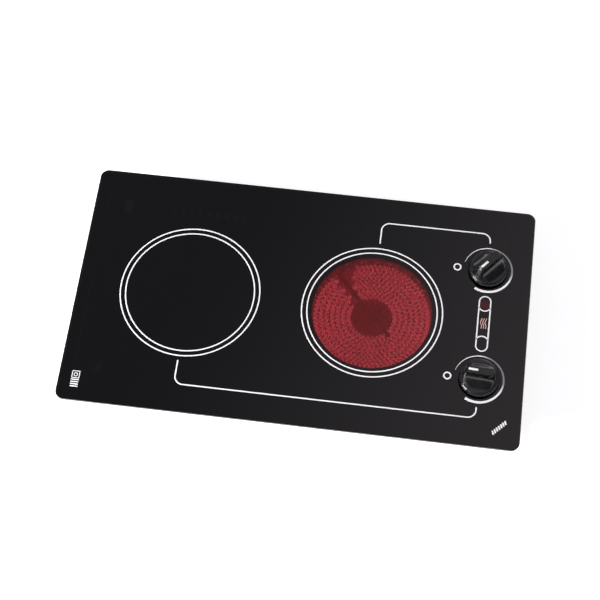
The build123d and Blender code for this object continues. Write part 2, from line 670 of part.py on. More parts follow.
def shaft_seal():
    """The rubber bush in the glass that keeps spills off the switch."""
    lip_radius, lip_height = SEAL_LIP
    seal = disc(SHAFT_HOLE_RADIUS, GLASS_UNDER - 1, GLASS_TOP)
    seal += disc(lip_radius, GLASS_TOP, GLASS_TOP + lip_height)
    return seal - disc(SHAFT_RADIUS + SEAL_CLEARANCE, GLASS_UNDER - 1, GLASS_TOP + lip_height)


def knob_base():
    """The knob's round skirt and deck."""
    z = KNOB_BOTTOM
    with BuildSketch(Plane.XZ) as half:
        with BuildLine():
            Polyline(
                (0, z), (KNOB_SKIRT_RADIUS, z), (KNOB_RIM_RADIUS, z + KNOB_RIM_HEIGHT),
                (KNOB_RIM_RADIUS - KNOB_DECK_EDGE, z + KNOB_DECK_HEIGHT),
                (0, z + KNOB_DECK_HEIGHT), (0, z),
            )
        make_face()
    base = revolve(half.sketch, Axis.Z)
    rim = base.edges().filter_by(GeomType.CIRCLE).sort_by(Axis.Z)[1:]
    return fillet(rim, KNOB_EDGE)


def knob_bar():
    """The grip: a bar with hollow flanks across the knob, along X."""
    foot = KNOB_BOTTOM + KNOB_DECK_HEIGHT - BAR_EDGE
    top, shoulder = KNOB_TOP, KNOB_TOP - BAR_EDGE
    crown = BAR_TOP_HALF_WIDTH - BAR_EDGE
    with BuildSketch(Plane.YZ) as section:
        with BuildLine():
            right = SagittaArc((BAR_FOOT_HALF_WIDTH, foot), (BAR_TOP_HALF_WIDTH, shoulder), BAR_SAGITTA)
            Line(right @ 1, (crown, top))
            Line((crown, top), (-crown, top))
            Line((-crown, top), (-BAR_TOP_HALF_WIDTH, shoulder))
            left = SagittaArc((-BAR_TOP_HALF_WIDTH, shoulder), (-BAR_FOOT_HALF_WIDTH, foot), BAR_SAGITTA)
            Line(left @ 1, right @ 0)
        make_face()
    bar = extrude(section.sketch, BAR_FOOT_HALF_LENGTH, both=True)
    height = top - foot
    envelope = Pos(0, 0, foot + height / 2) * Cone(BAR_FOOT_HALF_LENGTH, BAR_TOP_HALF_LENGTH, height)
    return bar & envelope


def knob():
    """The push-and-turn knob, pointing along +X."""
    body = knob_base() + knob_bar()
    hollow = disc(KNOB_SKIRT_RADIUS - KNOB_SKIRT_WALL, KNOB_BOTTOM, KNOB_BOTTOM + KNOB_HOLLOW)
    hollow -= disc(KNOB_HUB_RADIUS, KNOB_BOTTOM + KNOB_HUB_LIFT, KNOB_BOTTOM + KNOB_HOLLOW)
    body -= hollow
    body -= disc(SHAFT_RADIUS + CLIP_WALL, KNOB_BOTTOM, SHAFT_TOP)
    return body - pointer_block(0)


def pointer_block(proud):
    """The pointer's bar, let into the top of the grip."""
    length, width, depth = POINTER
    end = POINTER_START + length
    return block(POINTER_START, end, -width / 2, width / 2, KNOB_TOP - depth, KNOB_TOP + proud)


def knob_pointer():
    """The white pointer on the grip."""
    return pointer_block(POINTER_PROUD)


def knob_clip():
    """The steel clip in the knob's hub that grips the shaft."""
    low, high = KNOB_BOTTOM + KNOB_HUB_LIFT, SHAFT_TOP - 1
    return disc(SHAFT_RADIUS + CLIP_WALL, low, high) - d_section(SHAFT_RADIUS, SHAFT_FLAT, low, high)


# ---------------------------------------------------------------- lamps
def lamp(y, grow=0.0):
    """One lamp lens under its window, or its pocket when grown."""
    low = BRACKET_TOP + LAMP_HOLDER[2] - LAMP_POCKET
    high = GLASS_UNDER - LAMP_TO_GLASS
    return stadium(LAMP[0] + 2 * grow, LAMP[1] + 2 * grow, low, high, KNOB_X, y)


def lamp_holder():
    """The moulded strip on the bracket that both lamps sit in."""
    width, length, height = LAMP_HOLDER
    holder = stadium(width, length, BRACKET_TOP, BRACKET_TOP + height, KNOB_X)
    for side in (-1, 1):
        holder -= lamp(side * LAMP_FROM_MIDDLE, LAMP_CLEARANCE)
    return holder


# ---------------------------------------------------------------- mains entry
def mains_terminal_plan():
    """The mains terminal's edges in plan: x0, x1, y0, y1."""
    length, width, _ = MAINS_TERMINAL
    x1 = GLAND_WALL_X - SHEET - GLAND_STEM - MAINS_TERMINAL_FROM_WALL
    y1 = BOX_HALF_Y - SHEET - MAINS_TERMINAL_FROM_WALL
    return x1 - length, x1, y1 - width, y1


def mains_way_x(way):
    """The middle of one way of the mains terminal."""
    x0, x1, _, _ = mains_terminal_plan()
    return x0 + (way + 0.5) * (x1 - x0) / MAINS_WAYS


def mains_terminal():
    """The three-way terminal block, with a clamp screw over each way."""
    x0, x1, y0, y1 = mains_terminal_plan()
    top = SHEET + MAINS_TERMINAL[2]
    terminal = block(x0, x1, y0, y1, SHEET, top)
    terminal = fillet(terminal.edges().filter_by(Axis.Z), MAINS_CORNER)
    well_radius, well_depth = MAINS_SCREW_WELL
    radius, foot, head = MAINS_SCREW
    for way in range(MAINS_WAYS):
        x, y = mains_way_x(way), (y0 + y1) / 2
        terminal -= disc(well_radius, top - well_depth, top, x, y)
        terminal += disc(radius, top - foot, top - head, x, y)
    return terminal


def gland_x(distance):
    """A point on the gland's axis, at a distance outward from the box wall."""
    return (GLAND_WALL_X + distance, GLAND_Y, GLAND_HEIGHT)


def hexagon(radius, start, end):
    """A hexagon bar along the gland's axis, with flats at its sides."""
    plane = Plane(origin=gland_x(start), x_dir=(0, 0, 1), z_dir=(1, 0, 0))
    return extrude(plane * RegularPolygon(radius, 6, major_radius=False), end - start)


def cable_gland():
    """The cord's gland, with no cord in it: flange, domed nut and a threaded stem through the wall."""
    inner, outer = gland_x(-SHEET - GLAND_STEM), gland_x(GLAND_FLANGE + GLAND_DOME)
    gland = hexagon(GLAND_HEX_RADIUS, 0, GLAND_FLANGE)
    gland += rod(GLAND_HEX_RADIUS - GLAND_DOME_STEP, gland_x(GLAND_FLANGE), outer)
    gland += rod(GLAND_STEM_RADIUS, inner, gland_x(0))
    return gland - rod(GLAND_BORE_RADIUS, gland_x(0), outer) - rod(GLAND_STEM_BORE_RADIUS, inner, gland_x(0))


def gland_locknut():
    """The nut that holds the gland from inside the box."""
    nut = hexagon(LOCKNUT_RADIUS, -SHEET - LOCKNUT, -SHEET)
    return nut - rod(GLAND_STEM_RADIUS, gland_x(-SHEET - LOCKNUT), gland_x(-SHEET))


# ---------------------------------------------------------------- worktop clamps
def clamp_places():
    """Name and corner of each clamp."""
    for y_name, sy in (("rear", 1), ("front", -1)):
        for x_name, sx in (("left", -1), ("right", 1)):
            yield f"{y_name}_{x_name}_clamp", sx, sy


def clamp(sx, sy):
    """One clamp, folded in under the frame: a strip with a turned-up jaw."""
    low, high = CLAMP_HEIGHT, CLAMP_HEIGHT + CLAMP_THICKNESS
    half = CLAMP_WIDTH / 2
    strip = disc(half, low, high) + block(-half, half, 0, CLAMP_REACH, low, high)
    strip += block(-half, half, CLAMP_REACH - CLAMP_THICKNESS, CLAMP_REACH, low, high + CLAMP_JAW)
    strip -= disc(STUD_RADIUS + RUNNING_FIT, low, high)
    folded = strip if sy > 0 else Rot(0, 0, 180) * strip
    return Pos(sx * STUD_X, sy * STUD_Y, 0) * folded


def clamp_studs():
    """Four threaded studs welded under the frame's flange."""
    head_radius, head_height = STUD_HEAD
    studs = []
    for _, sx, sy in clamp_places():
        stud = disc(STUD_RADIUS, STUD_FOOT, FLANGE_UNDER)
        stud += disc(head_radius, FLANGE_UNDER - head_height, FLANGE_UNDER)
        studs.append(Pos(sx * STUD_X, sy * STUD_Y, 0) * stud)
    return Compound(children=studs)


def clamp_nuts():
    """The nut under each clamp."""
    high = CLAMP_HEIGHT - CLAMP_GAP
    nuts = []
    for _, sx, sy in clamp_places():
        hexagonal = RegularPolygon(NUT_RADIUS, 6, major_radius=False)
        nut = extrude(Pos(0, 0, high - NUT_THICKNESS) * hexagonal, NUT_THICKNESS)
        nut -= disc(STUD_RADIUS, high - NUT_THICKNESS, high)
        nuts.append(Pos(sx * STUD_X, sy * STUD_Y, 0) * nut)
    return Compound(children=nuts)


# ---------------------------------------------------------------- leads inside the box
def radial(zone, angle, distance, side, z):
    """A point beside a zone: out along an angle, then across it."""
    a = math.radians(angle)
    x = ZONE_X[zone] + distance * math.cos(a) - side * math.sin(a)
    return (x, distance * math.sin(a) + side * math.cos(a), z)


def lead(points):
    """One round lead along straight runs with round bends."""
    path = FilletPolyline(*points, radius=LEAD_BEND)
    section = Plane(origin=path @ 0, z_dir=path % 0) * Circle(LEAD_RADIUS)
    return sweep(section, path=path)


def heater_lead(zone, knob_name):
    """A lead from a heater terminal, along the rear wall, to a switch tab."""
    out = DISH_RADIUS + HEATER_TERMINAL_FROM_DISH + HEATER_TERMINAL[0] + HEATER_TAB[0]
    side = -HEATER_TERMINAL[1] / 4
    z = ELEMENT_FACE - HEATER_TERMINAL_DROP + HEATER_TAB[2] + TAB[2] / 2
    tab_y = KNOB_Y[knob_name] + TAB_SPREAD
    wall_y = BOX_HALF_Y - SHEET - LEAD_FROM_WALL[zone]
    drop_x = KNOB_X - LEAD_FROM_KNOBS[zone]
    tab_z = SWITCH_UNDER + TAB_HEIGHT + TAB[2] / 2
    start = radial(zone, HEATER_TERMINAL_ANGLE, out, side, z)
    reach = out + (wall_y - start[1]) / math.sin(math.radians(HEATER_TERMINAL_ANGLE))
    corner = radial(zone, HEATER_TERMINAL_ANGLE, reach, side, z)
    points = [start, corner, (drop_x, wall_y, tab_z), (drop_x, tab_y, tab_z)]
    return lead([*points, (SWITCH_TAB_TIP, tab_y, tab_z)])


def feed_lead(knob_name, way):
    """A lead from one way of the mains terminal, over the floor, to a switch tab."""
    y0 = mains_terminal_plan()[2]
    way_x = mains_way_x(way)
    z = SHEET + MAINS_TERMINAL[2] / 2
    tab_y = KNOB_Y[knob_name] - TAB_SPREAD
    drop_x = KNOB_X - FEED_FROM_KNOBS[knob_name]
    tab_z = SWITCH_UNDER + TAB_HEIGHT + TAB[2] / 2
    points = [(way_x, y0, z), (way_x, y0 - 2 * LEAD_BEND, z), (drop_x, tab_y, tab_z)]
    return lead([*points, (SWITCH_TAB_TIP, tab_y, tab_z)])


def internal_leads():
    """The heater leads of both zones and the feed from the mains terminal to each switch."""
    leads = [
        heater_lead("right", "rear"),
        heater_lead("left", "front"),
        feed_lead("rear", 1),
        feed_lead("front", 0),
    ]
    return Compound(children=leads)


# ---------------------------------------------------------------- the whole hob
def write_zone(zone):
    """Writes the pieces of one radiant element."""
    place = Pos(ZONE_X[zone], 0, 0)
    pieces = {
        "element_dish": element_dish(),
        "insulation_base": insulation_base(),
        "insulation_wall": insulation_wall(),
        "heating_ribbon": heating_ribbon(),
        "limiter_tube": limiter_tube(),
        "limiter_head": limiter_head(),
        "heater_terminal": heater_terminal(),
        "support_springs": support_springs(),
    }
    for name, shape in pieces.items():
        save(f"{zone}_{name}", place * shape)


def write_control(name):
    """Writes one energy switch with its shaft and knob."""
    place = Pos(KNOB_X, KNOB_Y[name], 0)
    fixed = {
        "switch_base": switch_base(),
        "switch_cover": switch_cover(),
        "switch_tabs": switch_tabs(),
        "contact_blade": contact_blade(),
        "shaft_seal": shaft_seal(),
        "return_spring": return_spring(),
    }
    turning = {
        "switch_cam": switch_cam(),
        "shaft": shaft(),
        "knob": knob(),
        "knob_pointer": knob_pointer(),
        "knob_clip": knob_clip(),
    }
    for piece, shape in fixed.items():
        save(f"{name}_{piece}", place * shape)
    for piece, shape in turning.items():
        save(f"{name}_{piece}", place * Rot(0, 0, POINTER_ANGLE[name]) * shape)


def main():
    """Writes every piece."""
    os.makedirs("parts", exist_ok=True)
    single = {
        "glass_top": glass_top,
        "glass_bond": glass_bond,
        "worktop_gasket": worktop_gasket,
        "top_frame": top_frame,
        "burner_box": burner_box,
        "control_bracket": control_bracket,
        "frame_screws": frame_screws,
        "switch_screws": switch_screws,
        "earth_screw": earth_screw,
        "lamp_holder": lamp_holder,
        "mains_terminal": mains_terminal,
        "cable_gland": cable_gland,
        "gland_locknut": gland_locknut,
        "clamp_studs": clamp_studs,
        "clamp_nuts": clamp_nuts,
        "internal_leads": internal_leads,
    }
    for name, make in single.items():
        save(name, make())
    save("rear_lamp", lamp(LAMP_FROM_MIDDLE))
    save("front_lamp", lamp(-LAMP_FROM_MIDDLE))
    for name, sx, sy in clamp_places():
        save(name, clamp(sx, sy))
    for zone in ZONE_X:
        write_zone(zone)
    for knob_name in KNOB_Y:
        write_control(knob_name)


main()
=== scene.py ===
"""Looks of the two-zone glass-ceramic hob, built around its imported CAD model. Metres, +Z up."""
import json
import math

import bpy
import numpy as np
from mathutils import Matrix, Vector


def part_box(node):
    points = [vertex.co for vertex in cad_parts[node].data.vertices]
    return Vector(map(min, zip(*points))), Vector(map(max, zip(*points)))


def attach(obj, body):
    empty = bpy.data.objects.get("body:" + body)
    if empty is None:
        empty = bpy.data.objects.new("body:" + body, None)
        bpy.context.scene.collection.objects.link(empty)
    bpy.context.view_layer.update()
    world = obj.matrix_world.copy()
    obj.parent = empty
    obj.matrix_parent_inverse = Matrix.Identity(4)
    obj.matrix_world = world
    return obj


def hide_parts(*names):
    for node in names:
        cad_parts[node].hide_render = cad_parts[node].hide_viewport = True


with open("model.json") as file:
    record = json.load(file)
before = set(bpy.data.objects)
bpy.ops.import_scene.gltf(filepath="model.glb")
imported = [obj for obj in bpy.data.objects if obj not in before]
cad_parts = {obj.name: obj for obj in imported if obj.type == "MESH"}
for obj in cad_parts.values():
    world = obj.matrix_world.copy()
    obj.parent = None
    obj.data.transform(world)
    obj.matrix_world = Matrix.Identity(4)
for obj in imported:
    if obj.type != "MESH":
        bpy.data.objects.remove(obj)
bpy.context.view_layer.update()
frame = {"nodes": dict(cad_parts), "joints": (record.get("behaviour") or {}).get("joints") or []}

MM = 0.001
TAU = 2 * math.pi
ROOT = "hob"

# ---------------------------------------------------------------- places, read from the frame
GLASS_LOW, GLASS_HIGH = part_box("glass_top")
GLASS_TOP = GLASS_HIGH[2]
JOINT = {joint["name"]: joint for joint in frame["joints"]}


def middle(node):
    """The middle of a CAD node's box."""
    low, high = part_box(node)
    return [(a + b) / 2 for a, b in zip(low, high)]


KNOBS = {name: JOINT[f"{name}_knob_turn"]["pos_m"][:2] for name in ("rear", "front")}
ZONES = {name: middle(f"{name}_element_dish")[:2] for name in ("left", "right")}


def heading(name):
    """The direction in which a knob's pointer lies at rest, seen from above."""
    mark = middle(f"{name}_knob_pointer")
    return math.atan2(mark[1] - KNOBS[name][1], mark[0] - KNOBS[name][0])


POINTER = {name: heading(name) for name in KNOBS}


# ---------------------------------------------------------------- mesh making
def make_piece(name, points, faces, material, body=ROOT, smooth=True, slot=None, stands_for=()):
    """A mesh piece from arrays of points (metres) and faces, which rides on a body of the frame."""
    mesh = bpy.data.meshes.new(name)
    mesh.from_pydata(np.asarray(points).tolist(), [], [list(face) for face in faces])
    mesh.polygons.foreach_set("use_smooth", np.full(len(mesh.polygons), smooth))
    mesh.materials.append(material)
    mesh.update()
    piece = bpy.data.objects.new(name, mesh)
    bpy.context.scene.collection.objects.link(piece)
    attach(piece, body)
    if stands_for:
        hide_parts(*stands_for)
    return piece


def grid_faces(rows, columns, wrap_rows=False, wrap_columns=True, start=0):
    """Quads between neighbours of a grid whose point (i, j) has the number start + i * columns + j."""
    i = np.arange(rows if wrap_rows else rows - 1)
    j = np.arange(columns if wrap_columns else columns - 1)
    i, j = np.meshgrid(i, j, indexing="ij")
    i2, j2 = (i + 1) % rows, (j + 1) % columns
    quads = np.stack([i * columns + j, i * columns + j2, i2 * columns + j2, i2 * columns + j], axis=-1)
    return (quads.reshape(-1, 4) + start).tolist()


def joined(parts):
    """One (points, faces) out of several, with the face numbers moved on."""
    points, faces, start = [], [], 0
    for part_points, part_faces in parts:
        points.append(part_points)
        faces += [[k + start for k in face] for face in part_faces]
        start += len(part_points)
    return np.concatenate(points), faces


# ---------------------------------------------------------------- print on the glass
PRINT_THICKNESS = 0.05 * MM
PRINT_SINK = 0.02 * MM


def side_normals(line, closed):
    """The unit normal on the left of each point of a flat line, from its neighbours' difference."""
    ahead = np.roll(line, -1, axis=0)
    behind = np.roll(line, 1, axis=0)
    if not closed:
        ahead[-1], behind[0] = line[-1], line[0]
    along = ahead - behind
    along /= np.linalg.norm(along, axis=1, keepdims=True)
    return np.stack([-along[:, 1], along[:, 0]], axis=1)


def stroke(line, width, closed=False):
    """A printed line of ink: a flat line widened by half its width each way, low at its edges.

    Its section is a trapezium of four points: the ink's foot, both shoulders, and the other foot.
    """
    line = np.asarray(line, float)
    half = np.broadcast_to(np.asarray(width, float) / 2, len(line))[:, None]
    normal = side_normals(line, closed)
    bevel = 0.06 * MM
    rows = []
    foot, shoulder = -PRINT_SINK, PRINT_THICKNESS
    section = ((half, foot), (half - bevel, shoulder), (bevel - half, shoulder), (-half, foot))
    for reach, height in section:
        flat = line + normal * reach
        rows.append(np.column_stack([flat, np.full(len(line), GLASS_TOP + height)]))
    points = np.stack(rows, axis=1).reshape(-1, 3)
    faces = grid_faces(len(line), 4, wrap_rows=closed, wrap_columns=True)
    if not closed:
        last = 4 * (len(line) - 1)
        faces += [[3, 2, 1, 0], [last, last + 1, last + 2, last + 3]]
    return points, faces


def arc(centre, radius, start, end, step=0.6 * MM):
    """Points on a circle's arc between two angles in radians."""
    count = max(6, int(abs(end - start) * radius / step) + 2)
    angle = np.linspace(start, end, count)
    return np.column_stack([centre[0] + radius * np.cos(angle), centre[1] + radius * np.sin(angle)])


def ring(centre, radius, width):
    """A closed printed ring."""
    return stroke(arc(centre, radius, 0, TAU)[:-1], width, closed=True)


def round_ends(line, width):
    """Widths that close to nothing over the last half width at both ends, as a round pen leaves them."""
    line = np.asarray(line)
    gone = np.concatenate([[0], np.cumsum(np.linalg.norm(np.diff(line, axis=0), axis=1))])
    width = np.broadcast_to(width, len(line))
    left = np.minimum(gone, gone[-1] - gone) / (width / 2)
    return width * np.sqrt(np.clip(1 - (1 - np.clip(left, 0, 1)) ** 2, 0.02, 1))


def dense_ends(line, width):
    """The line with extra points packed into both ends, so that round ends come out round."""
    line = np.asarray(line)
    share = np.array([0.02, 0.08, 0.18, 0.32, 0.5, 0.75, 1.0])[:, None] * width / 2
    first = (line[1] - line[0]) / np.linalg.norm(line[1] - line[0])
    last = (line[-2] - line[-1]) / np.linalg.norm(line[-2] - line[-1])
    keep = line[1:-1]
    keep = keep[np.linalg.norm(keep - line[0], axis=1) > width * 0.6]
    keep = keep[np.linalg.norm(keep - line[-1], axis=1) > width * 0.6]
    start, end = line[0] + share * first, (line[-1] + share * last)[::-1]
    return np.concatenate([line[:1], start, keep, end, line[-1:]])


def pen_line(line, width):
    """An open printed line of even width with round ends."""
    line = dense_ends(line, width)
    return stroke(line, round_ends(line, width))


def cornered(corners, radius):
    """A line along straight runs with a round corner at each inner point."""
    corners = [np.asarray(c, float) for c in corners]
    runs = [corners[0][None]]
    for before, corner, after in zip(corners, corners[1:], corners[2:]):
        a = (before - corner) / np.linalg.norm(before - corner)
        b = (after - corner) / np.linalg.norm(after - corner)
        half = math.acos(float(np.clip(a @ b, -1, 1))) / 2
        centre = corner + (a + b) / np.linalg.norm(a + b) * radius / math.sin(half)
        start = corner + a * radius / math.tan(half) - centre
        end = corner + b * radius / math.tan(half) - centre
        first, last = math.atan2(start[1], start[0]), math.atan2(end[1], end[0])
        turn = (last - first + math.pi) % TAU - math.pi
        runs.append(arc(centre, radius, first, first + turn))
    runs.append(corners[-1][None])
    line = np.concatenate(runs)
    return subdivided(line, 4 * MM)


def subdivided(line, step):
    """The same line with no gap between points longer than step."""
    out = [line[:1]]
    for a, b in zip(line, line[1:]):
        count = max(1, int(np.ceil(np.linalg.norm(b - a) / step)))
        out.append(a + (b - a) * (np.arange(1, count + 1) / count)[:, None])
    return np.concatenate(out)


def knob_scale(centre):
    """The swelling arc round a knob, thin after off and thick at the highest setting."""
    line = arc(centre, 28.6 * MM, math.radians(163), math.radians(-118.6))
    width = np.linspace(0.5 * MM, 3.2 * MM, len(line))
    return stroke(line, width)


def wave(x, y, length, swing, width):
    """One rising heat wave: a line along Y that swings along X as a sine, one and a quarter turns."""
    s = np.linspace(0, 1, 40)
    line = np.column_stack([x + swing * np.sin(1.25 * TAU * s), y + length * (s - 0.5)])
    return pen_line(line, width)


def indicator_print(x, y):
    """The long pill round both lamp windows, with a bow across it at the inner end of each window."""
    half, end = 6.7 * MM, (35.0 - 6.7) * MM
    top = arc((x, y + end), half, 0, math.pi)
    bottom = arc((x, y - end), half, math.pi, TAU)
    outline = subdivided(np.concatenate([top, bottom, top[:1]]), 3 * MM)[:-1]
    parts = [stroke(outline, 1.6 * MM, closed=True)]
    rise, apex = 4.2 * MM, 16.2 * MM
    radius = (half**2 + rise**2) / (2 * rise)
    reach = math.asin(half / radius)
    for sign in (1, -1):
        turn = -sign * math.pi / 2
        bow = arc((x, y + sign * (apex + radius)), radius, turn - reach, turn + reach)
        parts.append(stroke(bow, 1.5 * MM))
    return joined(parts)


def corner_block(x, y):
    """The plain mark at the near left corner: a framed square over four short bars."""
    size = 8.4 * MM
    square = [(x, y), (x + size, y), (x + size, y + size), (x, y + size), (x, y)]
    parts = [stroke(subdivided(np.array(square), 1 * MM)[:-1], 0.9 * MM, closed=True)]
    parts.append(ring((x + size / 2, y + size / 2), 2.0 * MM, 0.9 * MM))
    for i in range(4):
        level = y - (2.2 + 2.7 * i) * MM
        parts.append(stroke(np.array([(x - 0.4 * MM, level), (x + size + 0.4 * MM, level)]), 1.3 * MM))
    return joined(parts)


def corner_dashes(start, end, count, width):
    """The plain mark at the near right corner: a row of short slanted dashes between two points."""
    start, end = np.array(start), np.array(end)
    along = (end - start) / np.linalg.norm(end - start)
    across = np.array([-along[1], along[0]])
    parts = []
    for i in range(count):
        base = start + (end - start) * (i + 0.5) / count
        half = across * width / 2 + along * width / 4
        parts.append(stroke(np.array([base - half, base + half]), 1.9 * MM))
    return joined(parts)


def zone_link(zone, side, reach):
    """The line from a zone's rings to its knob: out, along the edge, and back to the knob."""
    zone_x = ZONES[zone][0]
    knob_x, knob_y = KNOBS["rear" if side > 0 else "front"]
    level = knob_y + side * 48.0 * MM
    tip = knob_y + side * (35.5 if side > 0 else 34.5) * MM
    path = [(zone_x, side * reach), (zone_x, level), (knob_x, level), (knob_x, tip)]
    return pen_line(cornered(path, 9.8 * MM), 1.6 * MM)


def print_marks(white, pink):
    """Everything printed on the glass."""
    for zone, centre in ZONES.items():
        rings = joined([ring(centre, radius * MM, 1.55 * MM) for radius in (76.4, 82.7)])
        make_piece(f"{zone}_zone_rings", *rings, white, smooth=False)
    for name, centre in KNOBS.items():
        make_piece(f"{name}_knob_scale", *knob_scale(centre), white, smooth=False)
        off = ring((centre[0] - 36.1 * MM, centre[1]), 3.95 * MM, 1.7 * MM)
        make_piece(f"{name}_off_mark", *off, white, smooth=False)
    make_piece("right_zone_link", *zone_link("right", 1, 89.5 * MM), white, smooth=False)
    make_piece("left_zone_link", *zone_link("left", -1, 88.5 * MM), white, smooth=False)
    knob_x = KNOBS["rear"][0]
    make_piece("indicator_outline", *indicator_print(knob_x, 0.0), white, smooth=False)
    waves = [wave(knob_x + i * 2.6 * MM, 0.2 * MM, 13.5 * MM, 0.75 * MM, 1.0 * MM) for i in (-1, 0, 1)]
    make_piece("heat_waves", *joined(waves), pink, smooth=False)
    make_piece("left_corner_mark", *corner_block(GLASS_LOW[0] + 15.9 * MM, -0.1247), white, smooth=False)
    dashes = corner_dashes((0.2345, -0.1342), (0.2500, -0.1187), 7, 4.3 * MM)
    make_piece("right_corner_mark", *dashes, white, smooth=False)


# ---------------------------------------------------------------- knobs
def knob_outline(angle, cone, slab):
    """Polar radius of a round bar cut to a slab: a smooth minimum of the cone's radius and the slab's."""
    flat = slab / np.maximum(np.abs(np.sin(angle)), 1e-6)
    power = 9.0
    return (cone**-power + flat**-power) ** (-1 / power)


HUB_UNDER = 1.7  # how far the hub stands above the skirt's foot
RIM_ROUND = 1.6  # radius of the rim's round
RIM_HEART = (20.6, 3.4)  # radius and height of the round's middle
GRIP_FOOT = 5.0
GRIP_SHOULDER = 0.955  # share of the grip's height at which its top edge starts to round
GRIP_EDGE = 0.95  # how far the top edge draws in


def base_rings(angle):
    """Rings, in mm, up the hollow underside, round the skirt's foot and over the rim to the deck."""
    hollow = [(6.6, HUB_UNDER), (6.8, 3.1), (20.6, 3.1), (21.0, 2.8), (21.0, 0.15), (21.2, 0.0)]
    skirt = [(23.1, 0.0), (23.35, 0.1), (23.4, 0.35), (22.25, 3.3)]
    quarter = np.linspace(0, math.pi / 2, 10)
    radius, height = RIM_HEART
    rim = [(radius + RIM_ROUND * math.cos(k), height + RIM_ROUND * math.sin(k)) for k in quarter]
    deck = [(20.4, 4.98), (20.25, 4.95)]
    return [(np.full_like(angle, r), z) for r, z in hollow + skirt + rim + deck]


def grip_rings(angle, top):
    """Rings, in mm, up the grip: its half width falls as a power curve and its length as a cone."""
    rings = []
    for t in np.concatenate([[0.0, 0.02, 0.05, 0.09], np.linspace(0.14, GRIP_SHOULDER, 26)]):
        slab = 4.3 + 11.2 * (1 - t) ** 2.6
        cone = 20.1 - 4.4 * t - 0.5 * t**3
        rings.append((knob_outline(angle, cone, slab), GRIP_FOOT + (top - GRIP_FOOT) * t))
    last, edge = rings[-1]
    for k in np.linspace(0.15, 1.0, 7) * math.pi / 2:
        rings.append((last - GRIP_EDGE * (1 - math.cos(k)), edge + (top - edge) * math.sin(k)))
    flat = rings[-1][0]
    return rings + [(flat * share, top) for share in (0.8, 0.55, 0.3, 0.08)]


def knob_mesh(centre, turn, bottom, top):
    """The knob as rings stacked from its hollow underside over skirt and deck to the grip's top.

    Each ring is a polar outline at one height, turned to the pointer's direction and closed at both
    ends by a fan of triangles.
    """
    angle = np.linspace(0, TAU, 240, endpoint=False)
    rings = base_rings(angle) + grip_rings(angle, top)
    across, along = np.cos(angle + turn), np.sin(angle + turn)
    points = []
    for r, z in rings:
        level = np.full_like(r, bottom + z * MM)
        points.append(np.column_stack([centre[0] + r * MM * across, centre[1] + r * MM * along, level]))
    count = len(rings)
    faces = grid_faces(count, len(angle))
    total = count * len(angle)
    points += [np.array([[centre[0], centre[1], bottom + level * MM]]) for level in (top, HUB_UNDER)]
    ends = np.arange(len(angle))
    around = np.roll(ends, -1)
    start = total - len(angle)
    faces += [[start + a, start + b, total] for a, b in zip(ends, around)]
    faces += [[b, a, total + 1] for a, b in zip(ends, around)]
    return np.concatenate(points), faces


def pointer_mesh(centre, turn, top):
    """The pointer inlay: a bar with round corners and a slightly crowned top, along +X until it is turned."""
    start, length, half = 2.8 * MM, 11.0 * MM, 1.3 * MM
    corner = 0.45 * MM
    k = np.linspace(0, math.pi / 2, 5)
    near, far, side = start + corner, start + length - corner, half - corner
    corners = [(far, side, 0), (near, side, 1), (near, -side, 2), (far, -side, 3)]
    outline = []
    for x, y, quarter in corners:
        around = k + quarter * math.pi / 2
        outline.append(np.column_stack([x + corner * np.cos(around), y + corner * np.sin(around)]))
    outline = np.concatenate(outline)
    heart = outline.mean(axis=0)
    layers = [(1.0, -0.7), (1.0, 0.02), (0.97, 0.07), (0.9, 0.1)]
    points, count = [], len(outline)
    for share, height in layers:
        flat = heart + (outline - heart) * np.array([1 - (1 - share) * 0.3, share])
        points.append(np.column_stack([flat, np.full(count, height * MM)]))
    points = np.concatenate(points)
    faces = grid_faces(len(layers), count)
    faces.append(list(range(count))[::-1])
    faces.append([3 * count + k for k in range(count)])
    c, s = math.cos(turn), math.sin(turn)
    x, y = points[:, 0].copy(), points[:, 1].copy()
    points[:, 0] = centre[0] + c * x - s * y
    points[:, 1] = centre[1] + s * x + c * y
    points[:, 2] += top
    return points, faces


def knobs(black, white):
    """Both knobs with their pointers, each riding on its push-and-turn body."""
    for name, centre in KNOBS.items():
        low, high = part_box(f"{name}_knob")
        body = f"{name}_knob_set"
        shell = knob_mesh(centre, POINTER[name], low[2], (high[2] - low[2]) / MM)
        make_piece(
            f"{name}_knob_shell", *shell, black, body,
            slot="knob_black", stands_for=[f"{name}_knob"],
        )
        make_piece(
            f"{name}_pointer_inlay", *pointer_mesh(centre, POINTER[name], high[2]), white, body,
            slot="pointer_white", stands_for=[f"{name}_knob_pointer"],
        )


# ---------------------------------------------------------------- heating ribbon
LIMITER_TURN = math.radians(133.0)
FIRST_ROW, ROW_PITCH, ROWS = 27.5 * MM, 6.5 * MM, 7
ROW_RADII = [FIRST_ROW + ROW_PITCH * i for i in range(ROWS)]
WAVE_PITCH, WAVE_SWING, STRIP_GAUGE = 5.4 * MM, 2.6 * MM, 0.5 * MM
ROW_GAP = 9.0 * MM
ROW_FLARE = 0.55  # how much wider the strip gets on its right, for each unit past the fourth row


